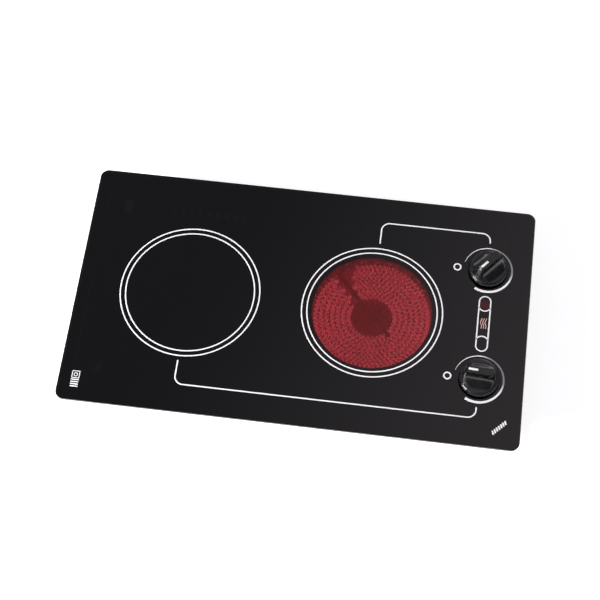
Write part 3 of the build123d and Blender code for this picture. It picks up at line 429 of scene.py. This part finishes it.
def ribbon_line():
    """The ribbon's middle line: seven rows, each open beside the limiter, joined by round U-turns."""
    runs = []
    for i, radius in enumerate(ROW_RADII):
        left = math.asin(ROW_GAP / radius)
        right = math.asin((ROW_GAP + ROW_FLARE * max(0.0, radius - ROW_RADII[2])) / radius)
        row = arc((0, 0), radius, left, TAU - right, step=1.0 * MM)
        runs.append(row if i % 2 == 0 else row[::-1])
    line = [runs[0]]
    for before, after in zip(runs, runs[1:]):
        chord = after[0] - before[-1]
        centre = (after[0] + before[-1]) / 2
        radius = np.linalg.norm(chord) / 2
        start = math.atan2(*(before[-1] - centre)[::-1])
        side = 1 if before[-1][1] > 0 else -1
        line.append(arc(centre, radius, start, start + side * math.pi, step=1.0 * MM)[1:-1])
        line.append(after)
    line = np.concatenate(line)
    c, s = math.cos(LIMITER_TURN), math.sin(LIMITER_TURN)
    return line @ np.array([[c, s], [-s, c]])


def ribbon_mesh(centre, low, height):
    """A thin upright strip that stands in waves: its plan is the middle line plus a sine across it."""
    line = ribbon_line()
    gone = np.concatenate([[0], np.cumsum(np.linalg.norm(np.diff(line, axis=0), axis=1))])
    along = np.arange(0, gone[-1], WAVE_PITCH / 10)
    even = np.column_stack([np.interp(along, gone, line[:, 0]), np.interp(along, gone, line[:, 1])])
    across = side_normals(even, False)
    even = even + across * (WAVE_SWING * np.sin(TAU * along / WAVE_PITCH))[:, None]
    across = side_normals(even, False) * STRIP_GAUGE / 2
    rows = []
    for sign, z in ((1, low), (1, low + height), (-1, low + height), (-1, low)):
        flat = even + sign * across + np.array(centre)
        rows.append(np.column_stack([flat, np.full(len(flat), z)]))
    points = np.stack(rows, axis=1).reshape(-1, 3)
    faces = grid_faces(len(even), 4)
    last = 4 * (len(even) - 1)
    faces += [[3, 2, 1, 0], [last, last + 1, last + 2, last + 3]]
    return points, faces


def ribbons(cold, glowing):
    """Both heating ribbons, on the faces of their insulation."""
    for zone, material in (("left", cold), ("right", glowing)):
        low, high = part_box(f"{zone}_heating_ribbon")
        mesh = ribbon_mesh(ZONES[zone], low[2], high[2] - low[2])
        slot = "ribbon_glowing" if zone == "right" else "ribbon"
        node = f"{zone}_heating_ribbon"
        make_piece(f"{zone}_ribbon_waves", *mesh, material, slot=slot, stands_for=[node])


# ---------------------------------------------------------------- insulation ring
def turned_profile(profile, centre, sides=180):
    """A ring turned about an upright axis from a closed outline of (radius, height) points."""
    profile = np.asarray(profile)
    angle = np.linspace(0, TAU, sides, endpoint=False)[:, None]
    radius, height = profile[:, 0], profile[:, 1]
    points = np.stack(
        [centre[0] + radius * np.cos(angle), centre[1] + radius * np.sin(angle), height + 0 * angle], axis=-1
    )
    faces = grid_faces(sides, len(profile), wrap_rows=True)
    return points.reshape(-1, 3), faces


def insulation_rings(cold, hot):
    """The ring of insulation round each element, with a soft inner lip just under the glass."""
    # The right ring gets the material with the ribbon's light painted on as emission
    for zone, material in (("left", cold), ("right", hot)):
        low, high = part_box(f"{zone}_insulation_wall")
        outer = (high[0] - low[0]) / 2
        inner, lip, play = 70.0 * MM, 2.0 * MM, 0.15 * MM
        top = high[2] - play
        turn = np.linspace(math.pi, math.pi / 2, 8)
        round_lip = [(inner + lip + lip * math.cos(k), top - lip + lip * math.sin(k)) for k in turn]
        profile = [(inner, low[2]), *round_lip, (outer, top), (outer, low[2])]
        ring_mesh = turned_profile(profile, ZONES[zone])
        make_piece(
            f"{zone}_insulation_ring", *ring_mesh, material, smooth=False, slot="insulation",
            stands_for=[f"{zone}_insulation_wall"],
        )


# ---------------------------------------------------------------- limiter
BORE_SHARE = 0.68  # the quartz tube's bore as a share of its outside
ROD_RADIUS = 0.9 * MM
ROD_SETBACK = 2 * MM  # how far the rod's tip stays back in the tube


def straight_tube(start, end, radii, sides=48):
    """A straight tube about a level line: four rings, outer and inner at each end, closed by flat faces.

    With an inner radius of nothing it is a bar.
    """
    start, end = np.array(start), np.array(end)
    along = (end - start) / np.linalg.norm(end - start)
    across = np.array([-along[1], along[0], 0.0])
    up = np.array([0.0, 0.0, 1.0])
    angle = np.linspace(0, TAU, sides, endpoint=False)[:, None]
    outer, inner = radii
    loops = [(start, outer), (end, outer)]
    if inner:
        loops += [(end, inner), (start, inner)]
    points = [place + radius * (np.cos(angle) * across + np.sin(angle) * up) for place, radius in loops]
    faces = grid_faces(len(loops), sides, wrap_rows=bool(inner))
    faces = [face[::-1] for face in faces]
    if not inner:
        faces += [list(range(sides)), list(range(2 * sides - 1, sides - 1, -1))]
    return np.concatenate(points), faces


def limiters(tubes, metals):
    """Each temperature limiter as a quartz tube with the metal rod in it whose growth trips the switch."""
    for zone, centre in ZONES.items():
        low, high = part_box(f"{zone}_limiter_tube")
        radius = (high[2] - low[2]) / 2
        along = np.array([math.cos(LIMITER_TURN), math.sin(LIMITER_TURN), 0.0])
        middle = np.array([centre[0], centre[1], (low[2] + high[2]) / 2])
        reach = (high[1] - centre[1] - radius * abs(along[0])) / along[1]
        back = (centre[1] - low[1] - radius * abs(along[0])) / along[1]
        ends = middle - along * back, middle + along * reach
        tube = straight_tube(*ends, (radius, radius * BORE_SHARE))
        node = f"{zone}_limiter_tube"
        make_piece(f"{zone}_limiter_quartz", *tube, tubes[zone], slot="quartz", stands_for=[node])
        rod = straight_tube(ends[0] + along * ROD_SETBACK, ends[1], (ROD_RADIUS, 0))
        make_piece(f"{zone}_limiter_rod", *rod, metals[zone])


# ---------------------------------------------------------------- materials
def linear(colour, alpha=1.0):
    """An sRGB hex colour as the linear numbers that a shader takes."""
    parts = [int(colour[i : i + 2], 16) / 255 for i in (1, 3, 5)]
    return [c / 12.92 if c <= 0.04045 else ((c + 0.055) / 1.055) ** 2.4 for c in parts] + [alpha]


def add(tree, kind, links=(), **settings):
    """One shader node with its settings; links are (socket name, output socket) pairs."""
    node = tree.nodes.new(kind)
    for name, value in settings.items():
        if name in node.inputs:
            node.inputs[name].default_value = value
        else:
            setattr(node, name, value)
    for name, source in links:
        tree.links.new(source, node.inputs[name])
    return node


def new_material(name):
    """A material with its tree, its Principled shader and the piece's Object coordinates."""
    material = bpy.data.materials.new(name)
    material.use_nodes = True
    tree = material.node_tree
    shader = tree.nodes["Principled BSDF"]
    coordinates = add(tree, "ShaderNodeTexCoord").outputs["Object"]
    return material, tree, shader, coordinates


def put(shader, **values):
    """Sets even values on the shader's own sockets."""
    for name, value in values.items():
        shader.inputs[name.replace("_", " ")].default_value = value


def noise(tree, coordinates, size, detail=3.0, roughness=0.5, stretch=(1, 1, 1)):
    """Noise whose features are size metres across, stretched along the axes."""
    mapping = add(tree, "ShaderNodeMapping", [("Vector", coordinates)])
    mapping.inputs["Scale"].default_value = stretch
    return add(
        tree, "ShaderNodeTexNoise", [("Vector", mapping.outputs["Vector"])],
        Scale=1 / size, Detail=detail, Roughness=roughness,
    ).outputs["Fac"]


def ramp(tree, factor, low, high, start=0.3, end=0.7):
    """A colour between two colours as the factor goes from start to end."""
    node = add(tree, "ShaderNodeValToRGB", [("Fac", factor)])
    node.color_ramp.elements[0].position = start
    node.color_ramp.elements[0].color = low
    node.color_ramp.elements[1].position = end
    node.color_ramp.elements[1].color = high
    return node.outputs["Color"]


def spread(tree, factor, low, high):
    """A number from low to high as the factor goes from 0.25 to 0.75, where noise mostly lies."""
    node = add(tree, "ShaderNodeMapRange", [("Value", factor)])
    for socket, value in (("From Min", 0.25), ("From Max", 0.75), ("To Min", low), ("To Max", high)):
        node.inputs[socket].default_value = value
    return node.outputs["Result"]


def bump(tree, shader, height, depth, strength=1.0):
    """Surface relief of a real depth in metres."""
    node = add(tree, "ShaderNodeBump", [("Height", height)], Strength=strength, Distance=depth)
    tree.links.new(node.outputs["Normal"], shader.inputs["Normal"])


def mottled(name, low, high, grain, rough, relief, metallic=0.0, stretch=(1, 1, 1), ior=1.5):
    """A surface whose colour, roughness and relief vary with grain of a real size."""
    material, tree, shader, at = new_material(name)
    put(shader, Metallic=metallic)
    if not metallic:
        put(shader, IOR=ior)
    fine = noise(tree, at, grain, 4.0, 0.55, stretch)
    wide = noise(tree, at, grain * 12, 2.0, 0.5, stretch)
    mixed = add(tree, "ShaderNodeMath", [(0, fine), (1, wide)], operation="ADD")
    half = add(tree, "ShaderNodeMath", [(0, mixed.outputs[0])], operation="MULTIPLY")
    half.inputs[1].default_value = 0.5
    tree.links.new(ramp(tree, half.outputs[0], linear(low), linear(high)), shader.inputs["Base Color"])
    tree.links.new(spread(tree, wide, *rough), shader.inputs["Roughness"])
    bump(tree, shader, fine, relief)
    return material


def glass_ceramic():
    """Rolled black glass-ceramic, polished: a mirror-smooth dark sheet that lets deep red through."""
    material, tree, shader, at = new_material("glass_ceramic_rolled_and_polished")
    put(shader, Base_Color=linear("#080405"), Transmission_Weight=1.0, IOR=1.53)
    smear = noise(tree, at, 60 * MM, 3.0, 0.6, (1, 1.6, 1))
    tree.links.new(spread(tree, smear, 0.012, 0.03), shader.inputs["Roughness"])
    return material


def enamel(name, low, high, rough=(0.35, 0.5)):
    """Screen-printed ceramic ink, fired on: an almost even colour with the mesh's faint grain."""
    material, tree, shader, at = new_material(name)
    put(shader, IOR=1.5)
    grain = noise(tree, at, 0.35 * MM, 2.0)
    tree.links.new(ramp(tree, grain, linear(low), linear(high)), shader.inputs["Base Color"])
    tree.links.new(spread(tree, grain, *rough), shader.inputs["Roughness"])
    bump(tree, shader, grain, 0.01 * MM, 0.5)
    return material


def knob_plastic():
    """Moulded heat-resistant nylon under its own gloss skin: near black, with crisp small highlights."""
    material, tree, shader, at = new_material("knob_moulded_black_nylon")
    put(shader, IOR=1.5, Coat_Weight=0.6, Coat_Roughness=0.05, Coat_IOR=1.5)
    skin = noise(tree, at, 0.25 * MM, 2.0)
    flow = noise(tree, at, 9 * MM, 2.0)
    tree.links.new(ramp(tree, flow, linear("#070708"), linear("#0b0b0d")), shader.inputs["Base Color"])
    tree.links.new(spread(tree, flow, 0.24, 0.32), shader.inputs["Roughness"])
    bump(tree, shader, skin, 0.01 * MM, 0.4)
    return material


def glowing_ribbon():
    """Oxidised iron-chromium-aluminium strip at red heat, brighter where a wave's crest runs hot."""
    material, tree, shader, at = new_material("heating_ribbon_at_red_heat")
    put(shader, IOR=1.5, Roughness=0.6, Base_Color=linear("#3a2824"))
    patch = noise(tree, at, 9 * MM, 2.0)
    tree.links.new(ramp(tree, patch, linear("#f06064"), linear("#ff7276")), shader.inputs["Emission Color"])
    put(shader, Emission_Strength=138.0)
    return material


def hot_rod():
    """Nickel-chromium rod at a dull red heat, redder in patches."""
    material, tree, shader, at = new_material("limiter_rod_at_dull_red")
    put(shader, IOR=1.5, Roughness=0.6, Base_Color=linear("#2a1c1a"))
    patch = noise(tree, at, 6 * MM, 2.0)
    tree.links.new(ramp(tree, patch, linear("#c40006"), linear("#e0000a")), shader.inputs["Emission Color"])
    put(shader, Emission_Strength=85.0)
    return material


def radial_step(tree, at, centre, inner, outer):
    """A smooth step from 0 to 1 as the distance from an upright axis goes from inner to outer."""
    moved = add(tree, "ShaderNodeVectorMath", [(0, at)], operation="SUBTRACT")
    moved.inputs[1].default_value = (centre[0], centre[1], 0)
    flat = add(tree, "ShaderNodeVectorMath", [(0, moved.outputs[0])], operation="MULTIPLY")
    flat.inputs[1].default_value = (1, 1, 0)
    away = add(tree, "ShaderNodeVectorMath", [(0, flat.outputs[0])], operation="LENGTH").outputs["Value"]
    step = add(tree, "ShaderNodeMapRange", [("Value", away)], interpolation_type="SMOOTHSTEP")
    for socket, value in (("From Min", inner), ("From Max", outer), ("To Min", 0.0), ("To Max", 1.0)):
        step.inputs[socket].default_value = value
    return step.outputs["Result"]


def painted_glow_insulation(name, centre, strength, inner, outer, low, high):
    """Pressed silica insulation with the ribbon's red light on it painted in as emission.

    The painted light goes from its low colour to its high colour between two radii from the zone's axis.
    """
    material, tree, shader, at = new_material(name)
    put(shader, IOR=1.45, Roughness=0.9, Base_Color=linear("#8d8177"))
    # Painted light: this emission, not a glow of the insulation's own, stands in for the ribbon's light
    # falling on it
    glow = radial_step(tree, at, centre, inner, outer)
    grain = noise(tree, at, 2.5 * MM, 3.0)
    patch = spread(tree, grain, 0.9, 1.0)
    mixed = add(tree, "ShaderNodeMath", [(0, glow), (1, patch)], operation="MULTIPLY")
    colour = ramp(tree, mixed.outputs[0], linear(low), linear(high), 0.0, 1.0)
    tree.links.new(colour, shader.inputs["Emission Color"])
    put(shader, Emission_Strength=strength)
    bump(tree, shader, grain, 0.2 * MM)
    return material


def lamp_plastic(name, colour, strength):
    """A tinted polycarbonate lamp lens; the lit one glows, brighter at its middle."""
    material, tree, shader, at = new_material(name)
    grain = noise(tree, at, 3 * MM, 2.0)
    tree.links.new(ramp(tree, grain, linear(colour), linear("#6e1a1c")), shader.inputs["Base Color"])
    tree.links.new(spread(tree, grain, 0.2, 0.35), shader.inputs["Roughness"])
    if strength:
        low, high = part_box("rear_lamp")
        reach = max(high[0] - low[0], high[1] - low[1]) / 2
        fall = radial_step(tree, at, middle("rear_lamp"), 0.25 * reach, 0.95 * reach)
        glow = ramp(tree, fall, linear("#ff444e"), linear("#200204"), 0.0, 1.0)
        tree.links.new(glow, shader.inputs["Emission Color"])
        put(shader, Emission_Strength=strength)
    return material


def painted_glow_quartz():
    """Satin fused quartz with the ribbon's light through it painted in as emission: an even dull red, fainter
    in drawn streaks.
    """
    material, tree, shader, at = new_material("limiter_quartz_painted_ribbon_light")
    put(shader, IOR=1.46, Roughness=0.35, Base_Color=linear("#4a1c1a"))
    streak = noise(tree, at, 3 * MM, 2.0)
    # Painted light: the red emission stands in for the ribbon's light shining through the tube
    tree.links.new(ramp(tree, streak, linear("#c40006"), linear("#dc000a")), shader.inputs["Emission Color"])
    put(shader, Emission_Strength=60.0)
    return material


def quartz():
    """Fused quartz tube: clear, with drawn-tube streaks along its length."""
    material, tree, shader, at = new_material("limiter_fused_quartz")
    put(shader, Base_Color=linear("#efe6e4"), Transmission_Weight=1.0, IOR=1.46)
    streak = noise(tree, at, 0.8 * MM, 2.0)
    tree.links.new(spread(tree, streak, 0.02, 0.08), shader.inputs["Roughness"])
    return material


def finish_nodes(looks):
    """Gives each carried-over CAD node the look listed for the first of the words that its name holds."""
    for node, piece in frame["nodes"].items():
        for words, material in looks:
            if any(word in node for word in words):
                piece.data.materials.clear()
                piece.data.materials.append(material)
                break


# ---------------------------------------------------------------- stage, light and camera
def stage():
    """A plain pale floor, evenly lit from within as a light table, so that it shows no shadow edge."""
    size = 6.0
    mesh = bpy.data.meshes.new("floor")
    corners = [(-size, -size, 0), (size, -size, 0), (size, size, 0), (-size, size, 0)]
    mesh.from_pydata(corners, [], [(0, 1, 2, 3)])
    material, _, shader, _ = new_material("floor_white_acrylic")
    put(shader, Base_Color=linear("#f4f4f4"), Roughness=0.7)
    put(shader, Emission_Color=linear("#ffffff"), Emission_Strength=0.75)
    mesh.materials.append(material)
    floor = bpy.data.objects.new("floor", mesh)
    floor.location.z = -0.0005
    bpy.context.scene.collection.objects.link(floor)


def area_light(name, place, target, size, power, colour="#ffffff"):
    """A soft square light that faces a point."""
    light = bpy.data.lights.new(name, "AREA")
    light.shape = "RECTANGLE"
    light.size, light.size_y = size
    light.energy = power
    light.color = linear(colour)[:3]
    lamp = bpy.data.objects.new(name, light)
    lamp.location = place
    lamp.rotation_euler = (Vector(target) - Vector(place)).to_track_quat("-Z", "Y").to_euler()
    bpy.context.scene.collection.objects.link(lamp)


def sky(world):
    """Dim surroundings with one soft bright band overhead, which the glass mirrors on its right.

    The brightness follows the direction's x and y along (1, -0.5): dim, bright, then darkest.
    """
    tree = world.node_tree
    way = add(tree, "ShaderNodeTexCoord").outputs["Generated"]
    tilt = add(tree, "ShaderNodeVectorMath", [(0, way)], operation="DOT_PRODUCT")
    tilt.inputs[1].default_value = (1.0, -0.5, 0.0)
    along = add(tree, "ShaderNodeMapRange", [("Value", tilt.outputs["Value"])])
    for socket, value in (("From Min", -0.36), ("From Max", 0.24), ("To Min", 0.0), ("To Max", 1.0)):
        along.inputs[socket].default_value = value
    bands = add(tree, "ShaderNodeValToRGB", [("Fac", along.outputs["Result"])])
    bands.color_ramp.interpolation = "EASE"
    bands.color_ramp.elements[1].color = (0.10, 0.10, 0.11, 1.0)
    bands.color_ramp.elements[0].color = (0.21, 0.21, 0.235, 1.0)
    bands.color_ramp.elements.new(0.5).color = (0.62, 0.56, 0.60, 1.0)
    tree.links.new(bands.outputs["Color"], tree.nodes["Background"].inputs["Color"])


def studio():
    """The surroundings, a broad light on the left and a low one behind."""
    world = bpy.data.worlds.new("studio")
    bpy.context.scene.world = world
    world.use_nodes = True
    sky(world)
    area_light("key_light", (-1.7, -1.1, 1.25), (0.0, 0.0, 0.05), (1.0, 0.45), 100)
    area_light("rear_light", (0.9, 2.2, 0.9), (0.1, 0.0, 0.05), (1.2, 0.5), 9)
    bpy.context.scene.view_settings.view_transform = "Standard"


def camera():
    """The viewpoint: 65 degrees above the glass, a little to the right of its middle, with a long lens."""
    place = Vector((0.1196, -0.7138, 1.5748 + GLASS_TOP))
    forward = Vector((-0.0699, 0.4139, -0.9076)).normalized()
    up = Vector((-0.1093, 0.9012, 0.4194))
    right = forward.cross(up).normalized()
    up = right.cross(forward)
    data = bpy.data.cameras.new("camera")
    data.sensor_width = 36.0
    data.lens = 88.33
    view = bpy.data.objects.new("camera", data)
    turn = Matrix((right, up, -forward)).transposed().to_4x4()
    view.matrix_world = Matrix.Translation(place) @ turn
    bpy.context.scene.collection.objects.link(view)
    bpy.context.scene.camera = view


# ---------------------------------------------------------------- finishes, by family
def metal_looks():
    """The sheet, plated and sprung metals: bright, with tight reflections broken by a faint grain."""
    sheet = ("#9a9d9f", "#b6b9ba", 2.2 * MM, (0.28, 0.45), 0.01 * MM)
    plate = ("#a9a9a4", "#c9c8c0", 0.6 * MM, (0.2, 0.38), 0.01 * MM)
    sprung = ("#6f7276", "#8d9094", 1.0 * MM, (0.25, 0.4), 0.01 * MM)
    brass = ("#b8964f", "#cfae66", 0.8 * MM, (0.25, 0.4), 0.01 * MM)
    oxide = ("#2c2825", "#3d3833", 1.5 * MM, (0.5, 0.7), 0.02 * MM)
    return {
        # hot-dip galvanised sheet: a soft grey with cloudy patches of spangle
        "steel": mottled("box_galvanised_sheet", *sheet, metallic=1.0),
        # zinc plate on screws, studs and nuts: a finer, slightly yellow sparkle
        "zinc": mottled("fastener_zinc_plated", *plate, metallic=1.0),
        # blued spring steel: a darker, cooler grey
        "spring": mottled("spring_steel_blued", *sprung, metallic=1.0),
        # rolled brass tabs: a warm yellow among the greys
        "brass": mottled("tabs_rolled_brass", *brass, metallic=1.0),
        # the unlit ribbon and rod: dull brown-black oxide
        "cold": mottled("heating_ribbon_oxidised", *oxide, metallic=1.0),
    }


def mineral_looks():
    """The fired and pressed minerals: pale, matt and slightly uneven."""
    silica = ("#b9b2a4", "#cfc8ba", 1.2 * MM, (0.85, 0.95), 0.2 * MM)
    steatite = ("#d3cbbb", "#e2dccf", 0.9 * MM, (0.55, 0.75), 0.03 * MM)
    sleeve = ("#c9bfa8", "#ded5c1", 0.9 * MM, (0.75, 0.9), 0.08 * MM)
    return {
        # pressed silica: chalky and pitted
        "pressed": mottled("insulation_pressed_silica", *silica, ior=1.45),
        # steatite: smoother, with the faint sheen of a fired body
        "ceramic": mottled("steatite_pressed", *steatite, ior=1.6),
        # glass-fibre sleeve: a warm off-white with a woven roughness
        "sleeve": mottled("lead_glass_fibre_sleeve", *sleeve, ior=1.5),
    }


def plastic_looks():
    """The mouldings and seals: blacks that differ in sheen, and one pale nylon."""
    phenolic = ("#1c1c1e", "#27272a", 0.5 * MM, (0.4, 0.55), 0.01 * MM)
    polyamide = ("#d2cfc4", "#e0ddd2", 0.6 * MM, (0.4, 0.5), 0.01 * MM)
    silicone = ("#0d0d0e", "#151516", 0.7 * MM, (0.5, 0.65), 0.01 * MM)
    tape = ("#17171a", "#242427", 0.8 * MM, (0.85, 0.95), 0.15 * MM)
    nylon = ("#18181a", "#222225", 0.5 * MM, (0.4, 0.55), 0.01 * MM)
    return {
        # phenolic switch bodies: black with a dry half gloss
        "moulded": mottled("switch_moulded_phenolic", *phenolic, ior=1.55),
        # cam: natural ivory polyamide
        "cam": mottled("cam_moulded_polyamide", *polyamide, ior=1.53),
        # silicone bead and seals: the deepest black, soft highlights
        "rubber": mottled("seal_moulded_silicone", *silicone, ior=1.41),
        # foam tape: open cells, quite matt
        "foam": mottled("gasket_foam_tape", *tape, ior=1.4),
        # gland and lamp holder: black nylon
        "nylon": mottled("gland_moulded_nylon", *nylon, ior=1.53),
    }


def insulation_with_painted_light():
    """The switched-on zone's cake and ring with the ribbon's light painted on: dull red in the hub, brighter
    under the rows, dark past the lip.
    """
    centre = ZONES["right"]
    # Painted light on the cake: a dull red in the hub rising to a brighter red under the ribbon's rows
    cake = painted_glow_insulation(
        "insulation_base_painted_ribbon_light", centre, 60.0, 22.5 * MM, 27.5 * MM, "#d80008", "#ee3440"
    )
    # Painted light on the ring: bright red at the lip's inner edge, falling to dark just past it
    lip = painted_glow_insulation(
        "insulation_wall_painted_ribbon_light", centre, 25.0, 70.1 * MM, 71.6 * MM, "#ff2030", "#100002"
    )
    return cake, lip


# ---------------------------------------------------------------- the scene
def main():
    """Builds the looks piece by piece."""
    camera()
    stage()
    studio()
    white = enamel("print_fired_white_enamel", "#f0f0f3", "#fbfbfd")
    pink = enamel("print_fired_pink_enamel", "#c99a98", "#e2bcb8")
    print_marks(white, pink)
    inlay = enamel("pointer_moulded_white_abs", "#f0f0f0", "#fbfbfb", (0.25, 0.35))
    knobs(knob_plastic(), inlay)
    look = metal_looks() | mineral_looks() | plastic_looks()
    ribbons(look["cold"], glowing_ribbon())
    # the right quartz tube carries painted ribbon light
    limiters({"left": quartz(), "right": painted_glow_quartz()}, {"left": look["cold"], "right": hot_rod()})
    # cake and lip carry painted light from the ribbon
    cake, lip = insulation_with_painted_light()
    insulation_rings(look["pressed"], lip)
    finish_nodes([
        (["glass_top"], glass_ceramic()),
        (["glass_bond", "shaft_seal"], look["rubber"]),
        (["worktop_gasket"], look["foam"]),
        (["right_insulation_base"], cake),
        (["insulation"], look["pressed"]),
        (["limiter_head", "heater_terminal"], look["ceramic"]),
        (["rear_lamp"], lamp_plastic("lamp_lens_lit", "#5a1416", 20.0)),
        (["front_lamp"], lamp_plastic("lamp_lens_unlit", "#2a0c0d", 0.0)),
        (["switch_screws", "frame_screws", "earth_screw", "studs", "nuts"], look["zinc"]),
        (["clamp", "spring", "clip", "blade"], look["spring"]),
        (["switch_tabs"], look["brass"]),
        (["switch_cam"], look["cam"]),
        (["switch_base", "switch_cover", "mains_terminal"], look["moulded"]),
        (["gland", "lamp_holder"], look["nylon"]),
        (["internal_leads"], look["sleeve"]),
        (["dish", "frame", "box", "bracket", "shaft"], look["steel"]),
    ])


main()
